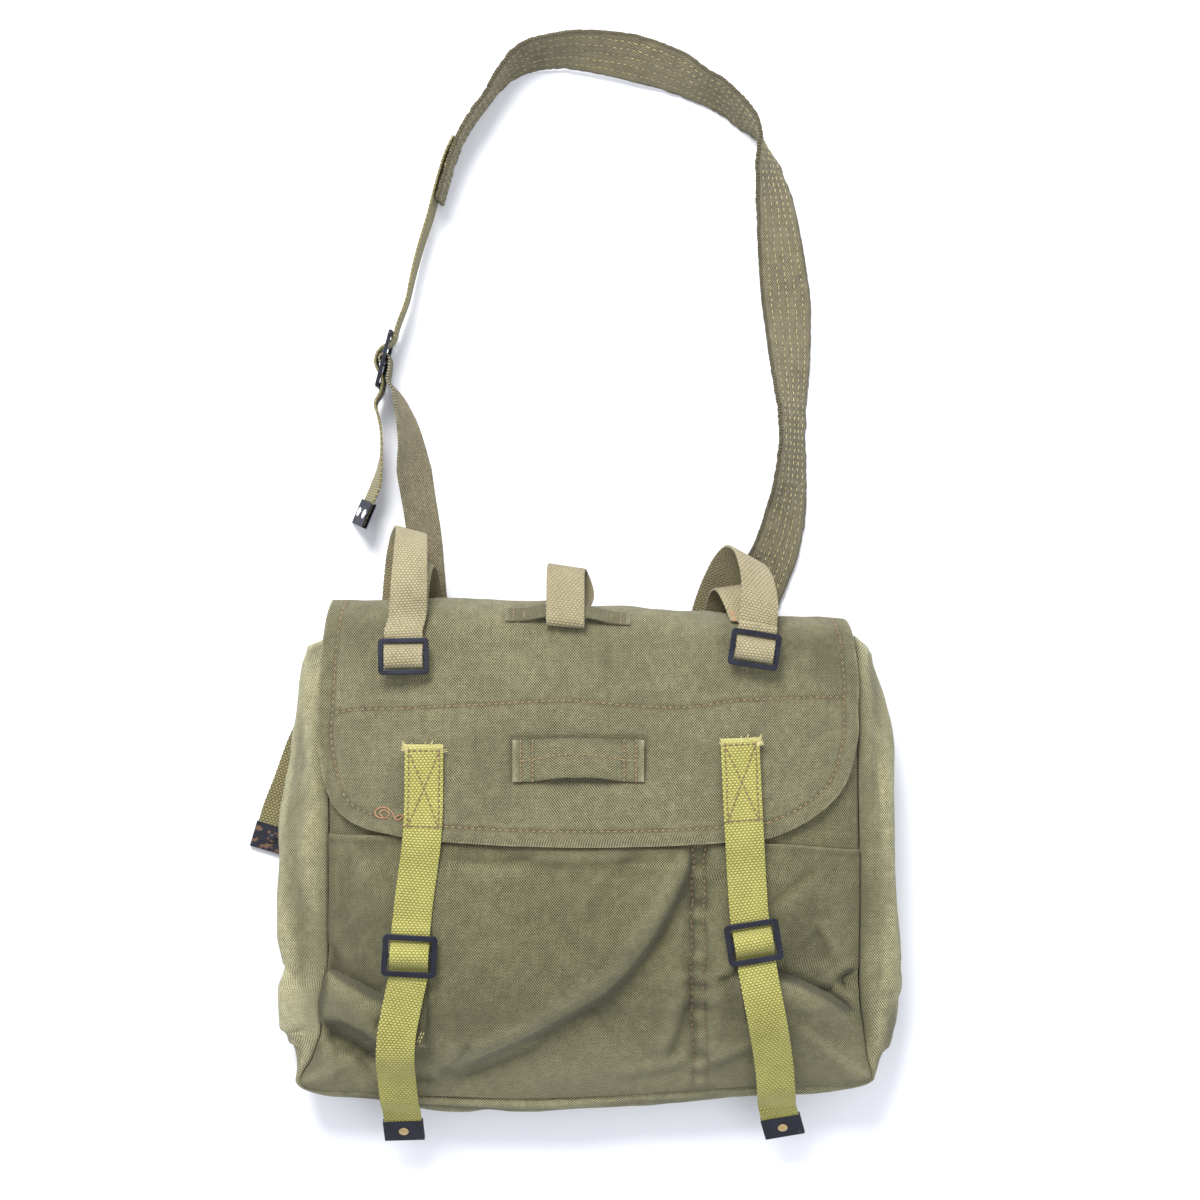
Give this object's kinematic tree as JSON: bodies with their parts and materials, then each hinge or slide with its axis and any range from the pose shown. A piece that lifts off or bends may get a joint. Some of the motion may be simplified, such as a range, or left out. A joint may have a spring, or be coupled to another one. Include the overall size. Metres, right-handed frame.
{
  "type": "canvas shoulder bag",
  "caption": "Soft canvas shoulder bag lying on its back, with a strapped-down flap, outer pocket, puffed side gussets, metal slides and a quilted shoulder strap laid out.",
  "frame": {"origin": "middle of the back panel's flat resting face", "axes": "+X to the bag's right seen from the front, +Y towards its top and along the laid out shoulder strap, +Z away from its back"},
  "size_m": [0.4184, 0.7139, 0.0957],
  "materials": {
    "canvas_front": "washed olive canvas",
    "canvas_sides": "faded olive canvas",
    "canvas_flap": "washed olive canvas",
    "canvas_strap": "quilted olive canvas",
    "webbing_green": "woven green webbing",
    "webbing_khaki": "woven khaki webbing",
    "black_metal": "worn black paint",
    "brass": "dull brass"
  },
  "bodies": {
    "root": {"adjusting_rivet_a": "brass", "adjusting_rivet_b": "brass", "adjusting_strap": "canvas_strap", "adjusting_tip": "black_metal", "back_panel": "canvas_front", "buckle_strap": "canvas_strap", "buckle_tab_left": "canvas_front", "buckle_tab_right": "canvas_front", "centre_band": "canvas_flap", "centre_loop": "webbing_khaki", "flap": "canvas_flap", "flap_keeper": "canvas_flap", "flap_strap_left": "webbing_green", "flap_strap_right": "webbing_green", "front_buckle_left": "black_metal", "front_buckle_right": "black_metal", "front_panel": "canvas_front", "front_pocket": "canvas_front", "gusset": "canvas_sides", "shoulder_buckle": "black_metal", "shoulder_strap": "canvas_strap", "side_rivet": "black_metal", "side_strap": "webbing_khaki", "side_tip": "black_metal", "strap_tip_left": "black_metal", "strap_tip_right": "black_metal", "tip_rivet_left": "brass", "tip_rivet_right": "brass", "top_buckle_left": "black_metal", "top_buckle_right": "black_metal", "top_strap_left": "webbing_khaki", "top_strap_right": "webbing_khaki", "top_tab_left": "webbing_khaki", "top_tab_right": "webbing_khaki"}
  },
  "joints": []
}
